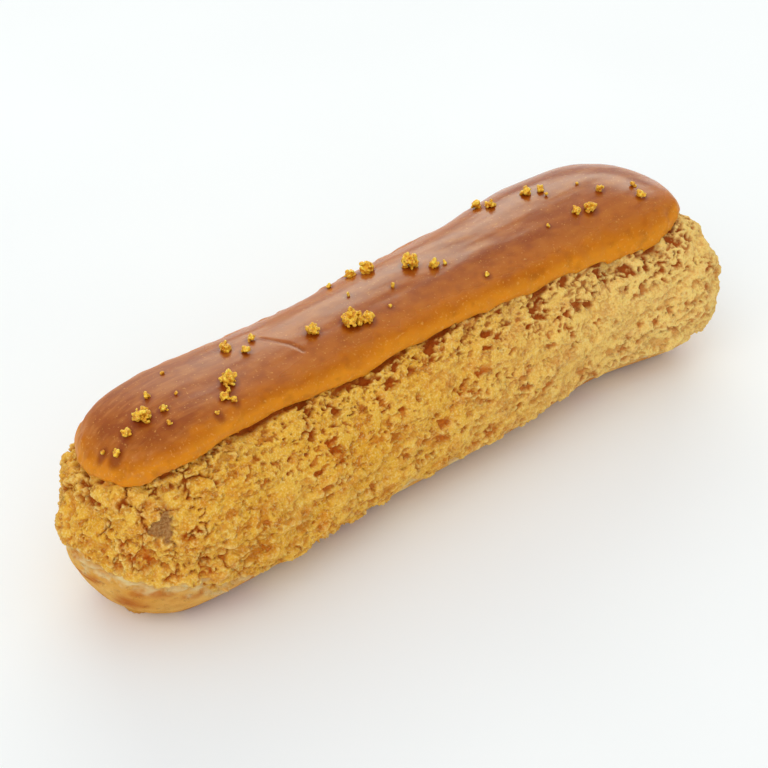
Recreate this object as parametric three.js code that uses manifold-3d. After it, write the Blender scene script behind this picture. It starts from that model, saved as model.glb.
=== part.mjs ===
// An éclair: a choux shell baked under a crackled craquelin crust, a set caramel glaze along its crest,
// and gilded crumbs on the glaze. Millimetres, +Z up, +X from the blunt end to the far end, and -Y the
// flank that faces the viewer. The origin is on the table, under the middle of the éclair.
import * as THREE from "three";
import { ImprovedNoise } from "three/addons/math/ImprovedNoise.js";
import { mergeVertices } from "three/addons/utils/BufferGeometryUtils.js";
import Module from "manifold-3d";

// --- Driving dimensions ---------------------------------------------------------------------------

const LENGTH = 140;

// Piped choux is uneven: its half width, crest height and sideways drift at places along it.
const PROFILE = [
  { along: -66, halfWidth: 16.2, crest: 36.4, drift: -1.7 },
  { along: -50, halfWidth: 17.5, crest: 35.0, drift: -1.6 },
  { along: -35, halfWidth: 17.7, crest: 34.1, drift: -1.4 },
  { along: -20, halfWidth: 16.9, crest: 33.5, drift: -1.0 },
  { along: 0, halfWidth: 17.7, crest: 33.6, drift: -0.4 },
  { along: 20, halfWidth: 17.9, crest: 33.9, drift: -0.1 },
  { along: 38, halfWidth: 18.0, crest: 34.3, drift: 1.4 },
  { along: 50, halfWidth: 18.9, crest: 34.2, drift: 0.2 },
  { along: 60, halfWidth: 19.9, crest: 34.1, drift: -2.1 },
  { along: 66, halfWidth: 20.4, crest: 33.9, drift: -3.4 },
];

const SHELL = {
  endReach: 20.4, // how far the rounding of each end reaches along the éclair, in its plan
  nearCrestReach: 26, // and along its crest, at the blunt end and at the far end
  farCrestReach: 23,
  footReach: 16, // and along its underside
  endPower: 2.2, // 2 rounds an end as an ellipse, and more squares it off
  waist: 0.436, // the level where it is widest, as a share of the crest height
  upperPower: 2.35, // roundness of the section above the waist and below it
  lowerPower: 2.35,
  footDepth: 1.12, // how far down the section would reach if the table didn't flatten it, in waists
  rings: 76,
  crestSteps: 6, // facets round a ring: under the glaze, down each flank, and across the foot
  flankSteps: 24,
  footSteps: 3,
  crestTurn: 30, // degrees round from the crest to where a flank starts, and to where the foot starts
  footTurn: 147,
};

// The craquelin ends at a lip, and bare choux shows below it: how high the lip is, along the éclair.
const LIP = [
  { along: -70, height: 17.5 },
  { along: -64, height: 13.0 },
  { along: -56, height: 9.0 },
  { along: -40, height: 7.0 },
  { along: -22, height: 7.5 },
  { along: -8, height: 10.0 },
  { along: 20, height: 10.6 },
  { along: 46, height: 10.4 },
  { along: 70, height: 12.0 },
];

const CRUST = {
  lipWander: 1.4,
  lipStep: 0.7, // how far the craquelin stands proud of the bare choux
  footEase: 1.5, // the bare choux comes down to the table over this height
  crackDepth: 1.1,
  crackCell: [14, 5], // size of the plates between cracks, along the éclair and round it
  crackWidth: 0.2,
  pitDepth: 1.3,
  pitCell: [7, 3.6],
  pitLevel: 0.15, // the crust is pitted where the noise is above this level
  pitSlope: 0.25, // and the pits are deepest where it is this much higher
};

// Hollows that show in the crust: their place along it, turn round it from the crest, radius and depth.
// The first is the bare spot where a flake has come away.
const HOLLOWS = [
  { along: -60.2, turn: 67, radius: 3.6, depth: 1.5 },
  { along: -63.2, turn: 80, radius: 2.6, depth: 1.2 },
  { along: -55.0, turn: 103, radius: 2.4, depth: 1.0 },
  { along: 16.3, turn: 44, radius: 2.8, depth: 1.1 },
  { along: 41.1, turn: 49, radius: 2.6, depth: 1.2 },
  { along: 50.8, turn: 46, radius: 2.8, depth: 1.4 },
];

const GLAZE = {
  start: -64.3,
  end: 63.5,
  nearReach: 15.3, // how far the rounding of each end reaches
  farReach: 16.5,
  drift: 0.8, // how far it sits off the shell's own middle line
  thickness: 2.15,
  rimReach: 3.4, // how far in from the rim the glaze reaches its full thickness
  gap: 0.45, // clearance over the crust that carries it
  ripple: 0.4,
  rippleCell: [16, 6],
  stations: 44,
  strips: 14,
};
const GLAZE_OUTLINE = [
  { along: -66, halfWidth: 14.2 },
  { along: -50, halfWidth: 11.8 },
  { along: -40, halfWidth: 10.7 },
  { along: -20, halfWidth: 10.4 },
  { along: 0, halfWidth: 10.8 },
  { along: 20, halfWidth: 11.7 },
  { along: 35, halfWidth: 13.2 },
  { along: 50, halfWidth: 14.0 },
  { along: 66, halfWidth: 14.1 },
];

// The gilded crumbs that can be told apart: how far along the éclair, how far across it, and width.
const CRUMBS = [
  [-62, -5, 1.4],
  [-59, -3.5, 1.6],
  [-55.5, -3, 3],
  [-52, -4, 1.4],
  [-52, 0.5, 1.2],
  [-42.5, -7.5, 1.6],
  [-39.5, -4.5, 2.8],
  [-34, 3.5, 2],
  [-32, 0.5, 1.6],
  [-29, 3, 1.4],
  [-20, -2, 2.4],
  [-13, -4, 3.6],
  [-10.5, -5, 2.4],
  [-3, 8.5, 2],
  [-0.5, 7, 2.6],
  [5.5, 2.5, 3.2],
  [8.5, -0.5, 1.8],
  [28.5, 10.5, 1.8],
  [29.5, 8, 2],
  [36.5, 6, 2],
  [39, 5, 1.6],
  [39.5, -4, 1.6],
  [42, -5, 2.2],
  [47.5, -2, 1.4],
  [53, -7, 1.8],
];
const CRUMB = {
  lumpWidth: 1.5, // a crumb is a cluster of lumps about this wide
  beside: 3, // lumps that lie side by side before one goes on top of them
  sunk: 0.5, // share of a lump's radius that lies below the glaze's surface
  spread: 0.2, // how unevenly the lumps are placed, and how rough each one is
  jitter: 0.2,
};

// --- Shared helpers -------------------------------------------------------------------------------

const wasm = await Module();
wasm.setup();
const noise = new ImprovedNoise();
const { clamp, degToRad, lerp, smoothstep } = THREE.MathUtils;

// A repeatable stream of numbers from 0 to 1.
function seededRandom(seed) {
  let state = seed;
  return () => {
    state = (state * 1664525 + 1013904223) % 4294967296;
    return state / 4294967296;
  };
}

// The smooth curve through rows of { along, ... }, as a function that gives the keyed values at a place.
function curveThrough(rows, keys) {
  const places = rows.map((row) => row.along);
  const values = rows.flatMap((row) => keys.map((key) => row[key]));
  const curve = new THREE.CubicInterpolant(places, values, keys.length);
  return (along) => Array.from(curve.evaluate(along));
}

// How far into the rounding of either end a place is: 0 along the middle, 1 at the very tip.
function intoEnd(along, start, end, startReach, endReach) {
  const fromStart = (start + startReach - along) / startReach;
  const fromEnd = (along - end + endReach) / endReach;
  return clamp(Math.max(fromStart, fromEnd), 0, 1);
}

// The other coordinate of a rounded outline, 1 in the middle and 0 at the tip.
function rounded(part, power) {
  return Math.pow(Math.max(1 - Math.pow(Math.abs(part), power), 0), 1 / power);
}

function signedPower(value, power) {
  return Math.sign(value) * Math.pow(Math.abs(value), power);
}

// Noise from about -1 to 1 whose features are stretched along the éclair.
function stretchedNoise(point, [cellAlong, cellRound], seed) {
  return noise.noise(point.x / cellAlong + seed, point.y / cellRound, point.z / cellRound + seed);
}

// A closed surface from rings of points, each ring closed on itself and the end rings drawn to points.
function skinRings(rings) {
  const size = rings[0].length;
  const positions = rings.flat().flatMap((p) => [p.x, p.y, p.z]);
  const faces = [];
  for (let i = 0; i < rings.length - 1; i++) {
    for (let j = 0; j < size; j++) {
      const a = i * size + j;
      const b = i * size + ((j + 1) % size);
      faces.push(a, b, a + size, b, b + size, a + size);
    }
  }
  const geometry = new THREE.BufferGeometry();
  geometry.setAttribute("position", new THREE.Float32BufferAttribute(positions, 3));
  geometry.setIndex(faces);
  return geometry;
}

// A copy of a geometry that holds positions alone, with the points that coincide merged.
function mergedCopy(geometry) {
  const plain = geometry.clone();
  plain.deleteAttribute("normal");
  plain.deleteAttribute("uv");
  return mergeVertices(plain, 1e-4);
}

// The solid that a closed geometry bounds. Faces that merging has flattened are dropped.
function toSolid(geometry) {
  const merged = mergedCopy(geometry);
  const kept = [];
  for (let i = 0; i < merged.index.count; i += 3) {
    const [a, b, c] = [0, 1, 2].map((k) => merged.index.getX(i + k));
    if (a !== b && b !== c && a !== c) kept.push(a, b, c);
  }
  const mesh = new wasm.Mesh({
    numProp: 3,
    vertProperties: Float32Array.from(merged.attributes.position.array),
    triVerts: Uint32Array.from(kept),
  });
  return new wasm.Manifold(mesh);
}

function toGeometry(solid) {
  const { vertProperties, triVerts } = solid.getMesh();
  const geometry = new THREE.BufferGeometry();
  geometry.setAttribute("position", new THREE.BufferAttribute(vertProperties, 3));
  geometry.setIndex(new THREE.BufferAttribute(triVerts, 1));
  geometry.computeVertexNormals();
  return geometry;
}

// --- The choux shell ------------------------------------------------------------------------------

const profileAt = curveThrough(PROFILE, ["halfWidth", "crest", "drift"]);
const lipAt = curveThrough(LIP, ["height"]);
const START = -LENGTH / 2;
const END = LENGTH / 2;

// The shell's section at a place along it: its half width, heights and middle, drawn in at the ends.
function sectionAt(along) {
  const [halfWidth, crest, drift] = profileAt(along);
  const { endReach, nearCrestReach, farCrestReach, footReach, endPower } = SHELL;
  const planScale = rounded(intoEnd(along, START, END, endReach, endReach), endPower);
  const crestScale = rounded(intoEnd(along, START, END, nearCrestReach, farCrestReach), endPower);
  const footScale = rounded(intoEnd(along, START, END, footReach, footReach), endPower);
  const waist = crest * SHELL.waist;
  return {
    drift,
    waist,
    halfWidth: halfWidth * planScale,
    rise: (crest - waist) * crestScale,
    fall: waist * SHELL.footDepth * footScale,
  };
}

// A point of the smooth shell. turn is the angle round the section: 0 at the crest, 90 degrees at the
// flank that faces the viewer, 180 under the foot, which the table flattens.
function shellPoint(along, turn) {
  const { drift, waist, halfWidth, rise, fall } = sectionAt(along);
  const upper = Math.cos(turn) >= 0;
  const power = 2 / (upper ? SHELL.upperPower : SHELL.lowerPower);
  const y = drift - halfWidth * signedPower(Math.sin(turn), power);
  const z = waist + (upper ? rise : fall) * signedPower(Math.cos(turn), power);
  return new THREE.Vector3(along, y, Math.max(z, 0));
}

// The height of the shell's smooth top over a point of its plan.
function topHeight(x, y) {
  const { drift, waist, halfWidth, rise } = sectionAt(x);
  const across = clamp((y - drift) / halfWidth, -1, 1);
  return waist + rise * rounded(across, SHELL.upperPower);
}

function topNormal(x, y) {
  const step = 0.05;
  const slopeX = (topHeight(x + step, y) - topHeight(x - step, y)) / (2 * step);
  const slopeY = (topHeight(x, y + step) - topHeight(x, y - step)) / (2 * step);
  return new THREE.Vector3(-slopeX, -slopeY, 1).normalize();
}

const hollowCentres = HOLLOWS.map(({ along, turn }) => shellPoint(along, degToRad(turn)));

// How deep the crust's cracks, pits and hollows lie below the smooth shell at a point of it.
function crustDepth(point) {
  const lip = lipAt(point.x)[0] + CRUST.lipWander * stretchedNoise(point, [12, 12], 3);
  if (point.z < lip) return CRUST.lipStep * smoothstep(point.z, 0, CRUST.footEase);
  const plate = Math.abs(stretchedNoise(point, CRUST.crackCell, 7));
  const crack = CRUST.crackDepth * (1 - smoothstep(plate, 0, CRUST.crackWidth));
  const pitted = stretchedNoise(point, CRUST.pitCell, 13);
  const pit = CRUST.pitDepth * smoothstep(pitted, CRUST.pitLevel, CRUST.pitLevel + CRUST.pitSlope);
  const hollows = HOLLOWS.map(({ radius, depth }, i) => {
    const away = point.distanceTo(hollowCentres[i]);
    return depth * (1 - smoothstep(away, radius * 0.5, radius));
  });
  return Math.max(crack, pit, ...hollows);
}

// The turns of a ring's points: dense down the flanks, sparse under the glaze and across the foot.
function ringTurns() {
  const crest = degToRad(SHELL.crestTurn);
  const foot = degToRad(SHELL.footTurn);
  const spans = [
    [-crest, crest, SHELL.crestSteps],
    [crest, foot, SHELL.flankSteps],
    [foot, 2 * Math.PI - foot, SHELL.footSteps],
    [2 * Math.PI - foot, 2 * Math.PI - crest, SHELL.flankSteps],
  ];
  return spans.flatMap(([from, to, steps]) =>
    Array.from({ length: steps }, (_, i) => lerp(from, to, i / steps)),
  );
}

// How much of the crust's relief a point keeps: none at the very tips and under the glaze.
function reliefShare(point) {
  const tip = smoothstep(END - Math.abs(point.x), 0.2, 1);
  const sheltered = smoothstep(glazeEdge(point.x, point.y), -0.5, 1.5);
  return point.z > sectionAt(point.x).waist ? tip * (1 - sheltered) : tip;
}

function buildShell() {
  const turns = ringTurns();
  const rings = [];
  for (let i = 0; i <= SHELL.rings; i++) {
    const along = END * Math.sin((i / SHELL.rings - 0.5) * Math.PI);
    rings.push(turns.map((turn) => shellPoint(along, turn)));
  }
  const skin = skinRings(rings);
  skin.computeVertexNormals();
  const { position, normal } = skin.attributes;
  const point = new THREE.Vector3();
  const outward = new THREE.Vector3();
  for (let i = 0; i < position.count; i++) {
    point.fromBufferAttribute(position, i);
    outward.fromBufferAttribute(normal, i);
    point.addScaledVector(outward, -crustDepth(point) * reliefShare(point));
    position.setXYZ(i, point.x, point.y, Math.max(point.z, 0));
  }
  return toSolid(skin);
}

// --- The glaze and its crumbs ---------------------------------------------------------------------

const glazeOutlineAt = curveThrough(GLAZE_OUTLINE, ["halfWidth"]);

function glazeMiddle(along) {
  return sectionAt(along).drift + GLAZE.drift;
}

// How far inside the glaze's rim a point of the plan lies, in millimetres. Outside it is negative.
function glazeEdge(x, y) {
  const [halfWidth] = glazeOutlineAt(x);
  const into = intoEnd(x, GLAZE.start, GLAZE.end, GLAZE.nearReach, GLAZE.farReach);
  const beyond = Math.max(GLAZE.start - x, x - GLAZE.end, 0);
  const across = (y - glazeMiddle(x)) / halfWidth;
  return (1 - Math.hypot(into, across)) * halfWidth - beyond;
}

// The glaze swells from nothing at its rim to its full thickness, in a quarter round.
function glazeThickness(x, y) {
  const inside = clamp(glazeEdge(x, y) / GLAZE.rimReach, 0, 1);
  const ripple = GLAZE.ripple * noise.noise(x / GLAZE.rippleCell[0], y / GLAZE.rippleCell[1], 5);
  return (GLAZE.thickness + ripple) * rounded(1 - inside, 2);
}

// A point of the glaze, at a height above the smooth crust given as a share of its thickness.
function glazePoint(x, y, share) {
  const lift = GLAZE.gap + share * glazeThickness(x, y);
  return new THREE.Vector3(x, y, topHeight(x, y)).addScaledVector(topNormal(x, y), lift);
}

function buildGlazeSlab() {
  const rings = [];
  const middle = (GLAZE.start + GLAZE.end) / 2;
  const reach = (GLAZE.end - GLAZE.start) / 2;
  for (let i = 0; i <= GLAZE.stations; i++) {
    const x = middle + reach * Math.sin((i / GLAZE.stations - 0.5) * Math.PI);
    const into = intoEnd(x, GLAZE.start, GLAZE.end, GLAZE.nearReach, GLAZE.farReach);
    const halfWidth = glazeOutlineAt(x)[0] * rounded(into, 2);
    const ring = [];
    for (let j = 0; j < 2 * GLAZE.strips; j++) {
      const turn = (j / GLAZE.strips) * Math.PI;
      const y = glazeMiddle(x) - halfWidth * Math.cos(turn);
      ring.push(glazePoint(x, y, j <= GLAZE.strips ? 0 : 1));
    }
    rings.push(ring);
  }
  return toSolid(skinRings(rings));
}

// One rough lump of a crumb: a faceted ball whose corners are moved in and out.
function buildLump(centre, radius, random) {
  const lump = mergedCopy(new THREE.IcosahedronGeometry(radius, 0));
  const { position } = lump.attributes;
  const corner = new THREE.Vector3();
  for (let i = 0; i < position.count; i++) {
    corner.fromBufferAttribute(position, i);
    corner.multiplyScalar(1 + CRUMB.jitter * (2 * random() - 1)).add(centre);
    position.setXYZ(i, corner.x, corner.y, corner.z);
  }
  return toSolid(lump);
}

// One crumb: a cluster of lumps side by side, with some on top of them where the cluster is wide.
function crumbLumps([x, y, width], random) {
  const base = glazePoint(x, y, 1);
  const up = topNormal(x, y);
  const sideways = new THREE.Vector3(0, 1, 0).cross(up).normalize();
  const count = Math.max(1, Math.round((width / CRUMB.lumpWidth) ** 1.6));
  const radius = Math.min(CRUMB.lumpWidth, width) / 2;
  return Array.from({ length: count }, (_, i) => {
    const onTop = i >= CRUMB.beside;
    const turn = (i / Math.min(count, CRUMB.beside) + CRUMB.spread * random()) * 2 * Math.PI;
    const away = (width / 2 - radius) * (onTop ? CRUMB.spread : 1 - CRUMB.spread * random());
    const lift = radius * (1 - CRUMB.sunk + (onTop ? 1 : 0));
    const centre = base.clone().addScaledVector(up, lift);
    centre.addScaledVector(sideways.clone().applyAxisAngle(up, turn), away);
    return buildLump(centre, radius, random);
  });
}

function buildGlaze() {
  const random = seededRandom(11);
  const lumps = CRUMBS.flatMap((crumb) => crumbLumps(crumb, random));
  return wasm.Manifold.union([buildGlazeSlab(), ...lumps]);
}

// --- The part -------------------------------------------------------------------------------------

const bakedCrust = new THREE.MeshStandardMaterial({ color: 0xd3a55c, roughness: 0.9 });
const caramel = new THREE.MeshStandardMaterial({ color: 0xb06c33, roughness: 0.3 });

function node(name, solid, material) {
  const mesh = new THREE.Mesh(toGeometry(solid), material);
  mesh.name = name;
  return mesh;
}

const eclair = new THREE.Group();
eclair.add(node("choux_shell", buildShell(), bakedCrust));
eclair.add(node("caramel_glaze", buildGlaze(), caramel));

export default eclair;
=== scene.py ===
# %% [markdown]
# # An éclair with a crackled crust, a caramel glaze and gilded crumbs
#
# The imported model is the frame: it says where the éclair is and how large. This lesson dresses it as the
# real pastry, one piece at a time: the camera and the light first, then the baked crust, the glaze that
# is set along its crest, and the crumbs of gold that lie on the glaze.

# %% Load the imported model
import math
import random

import bpy
import numpy as np
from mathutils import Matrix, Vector, noise
from mathutils.bvhtree import BVHTree


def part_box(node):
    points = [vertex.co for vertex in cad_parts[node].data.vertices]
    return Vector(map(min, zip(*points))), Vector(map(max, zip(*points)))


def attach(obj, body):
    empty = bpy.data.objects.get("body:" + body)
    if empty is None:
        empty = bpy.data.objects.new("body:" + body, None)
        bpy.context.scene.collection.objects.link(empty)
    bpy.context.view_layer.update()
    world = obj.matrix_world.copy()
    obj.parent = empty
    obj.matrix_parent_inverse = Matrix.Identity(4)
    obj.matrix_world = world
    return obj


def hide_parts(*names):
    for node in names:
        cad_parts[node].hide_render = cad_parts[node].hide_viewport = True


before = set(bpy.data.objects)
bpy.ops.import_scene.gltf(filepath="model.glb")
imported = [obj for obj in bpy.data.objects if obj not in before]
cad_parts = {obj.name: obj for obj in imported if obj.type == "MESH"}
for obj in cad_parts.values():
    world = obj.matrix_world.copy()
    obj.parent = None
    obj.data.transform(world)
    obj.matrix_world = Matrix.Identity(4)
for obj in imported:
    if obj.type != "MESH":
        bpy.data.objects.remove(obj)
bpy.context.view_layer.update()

MM = 0.001
crust_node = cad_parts["choux_shell"]
glaze_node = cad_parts["caramel_glaze"]

# %% [markdown]
# ## The camera and the studio
#
# The picture was taken from the blunt end's side, looking down at about 37 degrees, with a long lens. The
# camera is placed by those angles and its distance, so that every later choice can be held against the
# photograph. The éclair stands on a white sweep in a bright tent, brighter overhead than at its walls. A
# long panel behind it draws the sheen on the glaze, a light from the left rakes the crust so that its pits
# show, and a cool one in front keeps the shadows light. One small lamp would cut shadows too hard for it.

# %% Small helpers that every later step uses
def deselect_all():
    """Leaves nothing selected, because an operator acts on all that is."""
    if bpy.context.object and bpy.context.object.mode != "OBJECT":
        bpy.ops.object.mode_set(mode="OBJECT")
    bpy.ops.object.select_all(action="DESELECT")


def make_active(obj):
    """Selects one object alone, so that operators act on it."""
    deselect_all()
    obj.select_set(True)
    bpy.context.view_layer.objects.active = obj


def apply_modifier(obj, kind, **settings):
    """Adds a modifier with its settings and applies it at once."""
    make_active(obj)
    modifier = obj.modifiers.new(kind.title(), kind)
    for key, value in settings.items():
        setattr(modifier, key, value)
    bpy.ops.object.modifier_apply(modifier=modifier.name)


def direction(azimuth, elevation):
    """The direction from the éclair towards a viewer or a light, from its angles in degrees."""
    turn = math.radians(azimuth)
    lift = math.radians(elevation)
    return Vector((math.sin(turn) * math.cos(lift), -math.cos(turn) * math.cos(lift), math.sin(lift)))


# %% Camera
VIEW_AZIMUTH = -40.65
VIEW_ELEVATION = 36.7
VIEW_DISTANCE = 403 * MM
VIEW_ANGLE = 19.04
SENSOR_WIDTH = 36
AIM = Vector((-2.9, -0.4, 16.35)) * MM

towards_viewer = direction(VIEW_AZIMUTH, VIEW_ELEVATION)
camera_data = bpy.data.cameras.new("Camera")
camera_data.sensor_width = SENSOR_WIDTH
camera_data.lens = SENSOR_WIDTH / 2 / math.tan(math.radians(VIEW_ANGLE / 2))
camera = bpy.data.objects.new("Camera", camera_data)
bpy.context.scene.collection.objects.link(camera)
camera.location = AIM + towards_viewer * VIEW_DISTANCE
camera.rotation_euler = (-towards_viewer).to_track_quat("-Z", "Y").to_euler()
bpy.context.scene.camera = camera
print("Lens in mm:", round(camera_data.lens, 1))


# %% Lights
LIGHT_DISTANCE = 2.2
WARM = (1.0, 0.985, 0.93)
GREENISH = (0.955, 1.0, 0.91)
COOL = (0.80, 0.94, 1.0)


def add_area_light(name, azimuth, elevation, width, tall, watts, colour):
    """A soft light that looks at the éclair."""
    data = bpy.data.lights.new(name, "AREA")
    data.shape = "RECTANGLE"
    data.size = width
    data.size_y = tall
    data.energy = watts
    data.color = colour
    light = bpy.data.objects.new(name, data)
    bpy.context.scene.collection.objects.link(light)
    towards_light = direction(azimuth, elevation)
    light.location = towards_light * LIGHT_DISTANCE
    light.rotation_euler = (-towards_light).to_track_quat("-Z", "Y").to_euler()


add_area_light("Back_light", azimuth=142, elevation=26, width=2.0, tall=0.8, watts=16, colour=GREENISH)
add_area_light("Side_light", azimuth=-72, elevation=46, width=1.3, tall=1.3, watts=7.6, colour=WARM)
add_area_light("Front_light", azimuth=-35, elevation=38, width=1.6, tall=1.0, watts=5.5, colour=COOL)

# %% The tent round them, and the floor
TENT_WHITE = (0.975, 0.985, 1.0, 1)
WALL_BRIGHTNESS = 0.6
CEILING_BRIGHTNESS = 0.88
WALL_TOP = 0.35
CEILING_START = 0.85
FLOOR_SIZE = 4

tent = bpy.data.worlds.new("Studio")
bpy.context.scene.world = tent
tent.use_nodes = True
background = tent.node_tree.nodes["Background"]
background.inputs["Color"].default_value = TENT_WHITE
ray = tent.node_tree.nodes.new("ShaderNodeTexCoord")
ray_parts = tent.node_tree.nodes.new("ShaderNodeSeparateXYZ")
brightness = tent.node_tree.nodes.new("ShaderNodeMapRange")
brightness.inputs["From Min"].default_value = WALL_TOP
brightness.inputs["From Max"].default_value = CEILING_START
brightness.inputs["To Min"].default_value = WALL_BRIGHTNESS
brightness.inputs["To Max"].default_value = CEILING_BRIGHTNESS
tent.node_tree.links.new(ray.outputs["Generated"], ray_parts.inputs[0])
tent.node_tree.links.new(ray_parts.outputs["Z"], brightness.inputs["Value"])
tent.node_tree.links.new(brightness.outputs[0], background.inputs["Strength"])
bpy.context.scene.view_settings.view_transform = "Standard"
bpy.context.scene.view_settings.look = "None"

deselect_all()
bpy.ops.mesh.primitive_plane_add(size=FLOOR_SIZE, location=(0, 0, 0))
floor = bpy.context.object
floor.name = "floor"
print("Floor:", FLOOR_SIZE, "m wide")


# %% [markdown]
# ## Nodes without clutter
#
# Materials are built in code, so a few small helpers keep them readable. They make a node and set its
# sockets, blend two colours, stretch a value's range, and read a mask that is stored on the mesh.

# %% Node helpers
def srgb(red, green, blue):
    """A colour as the eye reads it in the photograph, 0 to 255, made linear for the shader."""
    def linear(value):
        value = value / 255
        return value / 12.92 if value <= 0.04045 else ((value + 0.055) / 1.055) ** 2.4

    return (linear(red), linear(green), linear(blue), 1.0)


def add_node(tree, kind, settings=None, **inputs):
    """Adds a node. An input is given a value, or another node's output to be linked from."""
    node = tree.nodes.new(kind)
    for key, value in (settings or {}).items():
        setattr(node, key, value)
    for name, value in inputs.items():
        socket = node.inputs[int(name[1:])] if name[1:].isdigit() else node.inputs[name.replace("_", " ")]
        if isinstance(value, bpy.types.NodeSocket):
            tree.links.new(value, socket)
        else:
            socket.default_value = value
    return node


def mix_colours(tree, factor, first, second):
    """Blends two colours by a factor, and returns the resulting colour's socket."""
    colours = {"data_type": "RGBA"}
    return add_node(tree, "ShaderNodeMix", colours, _0=factor, _6=first, _7=second).outputs[2]


def remap(tree, value, low, high, to_low=0.0, to_high=1.0):
    """Stretches a value's range from low..high to to_low..to_high, held at both ends."""
    node = add_node(
        tree, "ShaderNodeMapRange", Value=value, From_Min=low, From_Max=high, To_Min=to_low, To_Max=to_high
    )
    return node.outputs["Result"]


def calculate(tree, operation, first, second):
    """One step of arithmetic."""
    return add_node(tree, "ShaderNodeMath", {"operation": operation}, _0=first, _1=second).outputs[0]


def mask(tree, name):
    """A number that is stored on the mesh, as a mask."""
    return add_node(tree, "ShaderNodeAttribute", {"attribute_name": name}).outputs["Fac"]


def tinted(tree, colour, name, most, tint):
    """The colour blended towards a tint by a stored mask, as far as `most` where the mask is 1."""
    return mix_colours(tree, remap(tree, mask(tree, name), 0, 1, 0, most), colour, tint)


def new_material(name):
    """An empty material, its nodes and its Principled shader."""
    material = bpy.data.materials.new(name)
    material.use_nodes = True
    return material, material.node_tree, material.node_tree.nodes["Principled BSDF"]


# %% [markdown]
# ## One grain for every finish
#
# Crust, caramel, gold and floor are all uneven at some size, so noise is an effect they share. It is built
# once, as a node group, and each finish places it with values of its own. It reads Object coordinates in
# millimetres, so that a grain keeps its size wherever the piece lies.

# %% The grain group
GRAIN_INPUTS = {"Scale": 1.0, "Stretch": 1.0, "Detail": 2.0}

grain_group = bpy.data.node_groups.new("grain_in_mm", "ShaderNodeTree")
for name, value in GRAIN_INPUTS.items():
    group_socket = grain_group.interface.new_socket(name, in_out="INPUT", socket_type="NodeSocketFloat")
    group_socket.default_value = value
grain_group.interface.new_socket("Grain", in_out="OUTPUT", socket_type="NodeSocketFloat")
given = add_node(grain_group, "NodeGroupInput").outputs
object_place = add_node(grain_group, "ShaderNodeTexCoord").outputs["Object"]
lengthwise = calculate(grain_group, "DIVIDE", 1 / MM, given["Stretch"])
per_metre = add_node(grain_group, "ShaderNodeCombineXYZ", X=lengthwise, Y=1 / MM, Z=1 / MM).outputs[0]
in_mm = add_node(
    grain_group, "ShaderNodeVectorMath", {"operation": "MULTIPLY"}, _0=object_place, _1=per_metre
).outputs[0]
grain_texture = add_node(
    grain_group, "ShaderNodeTexNoise", Vector=in_mm, Scale=given["Scale"], Detail=given["Detail"]
)
group_end = grain_group.nodes.new("NodeGroupOutput")
grain_group.links.new(grain_texture.outputs[0], group_end.inputs["Grain"])
print("Grain group:", len(grain_group.nodes), "nodes")


def noise_field(tree, scale_per_mm, stretch=1.0, detail=2.0):
    """Places the grain. Its features are 1 / scale_per_mm across, and longer along X."""
    group = {"node_tree": grain_group}
    node = add_node(tree, "ShaderNodeGroup", group, Scale=scale_per_mm, Stretch=stretch, Detail=detail)
    return node.outputs["Grain"]


# %% Floor finish
PAPER_WHITE = (0.93, 0.96)
RED_SHARE = 0.985

paper, tree, shader = new_material("white_sweep")
tone = remap(tree, noise_field(tree, 0.01), 0.3, 0.7, *PAPER_WHITE)
less_red = calculate(tree, "MULTIPLY", tone, RED_SHARE)
shade = add_node(tree, "ShaderNodeCombineColor", Red=less_red, Green=tone, Blue=tone).outputs[0]
tree.links.new(shade, shader.inputs["Base Color"])
shader.inputs["Roughness"].default_value = 0.8
shader.inputs["Specular IOR Level"].default_value = 0.1
floor.data.materials.append(paper)
print("Floor finish:", paper.name)

# %% [markdown]
# ## The baked crust: a skin to carve
#
# The craquelin is a sheet of sugar dough that melts over the choux and cracks as it swells. Its pits could
# be painted, but they catch the light, so they are carved. Carving needs a dense, even skin: the CAD solid
# is copied, merged and remeshed in small voxels, and smoothing takes off its facets but keeps its
# swellings, hollows and lip.

# %% Read and move the points of a skin
MERGE_DISTANCE = 0.01 * MM


def copy_of_node(node, name):
    """A new object with a merged copy of a CAD node's mesh. The node itself is left alone."""
    mesh = node.data.copy()
    mesh.materials.clear()
    obj = bpy.data.objects.new(name, mesh)
    bpy.context.scene.collection.objects.link(obj)
    make_active(obj)
    bpy.ops.mesh.customdata_custom_splitnormals_clear()
    bpy.ops.object.mode_set(mode="EDIT")
    bpy.ops.mesh.select_all(action="SELECT")
    bpy.ops.mesh.remove_doubles(threshold=MERGE_DISTANCE)
    bpy.ops.object.mode_set(mode="OBJECT")
    return obj


def points_of(obj):
    """The object's points, in millimetres, as rows."""
    places = np.empty(len(obj.data.vertices) * 3, np.float32)
    obj.data.vertices.foreach_get("co", places)
    return places.reshape(-1, 3).astype(float) / MM


def facing_of(obj):
    """The direction that the surface faces at each point."""
    facing = np.empty(len(obj.data.vertices) * 3, np.float32)
    obj.data.vertex_normals.foreach_get("vector", facing)
    return facing.reshape(-1, 3).astype(float)


def move_points(obj, places):
    """Puts the object's points at new places, given in millimetres."""
    obj.data.vertices.foreach_set("co", (places * MM).astype(np.float32).ravel())
    obj.data.update()


def smooth_step(value, low, high):
    """0 below low, 1 above high, and a soft ramp between."""
    share = np.clip((value - low) / (high - low), 0, 1)
    return share * share * (3 - 2 * share)


def fade(share, start, end):
    """From start, where the share is 0, to end, where it is 1."""
    return start + (end - start) * share


# %% Copy and remesh the shell
VOXEL = 0.33 * MM
FACET_SMOOTHING = 40

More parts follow.
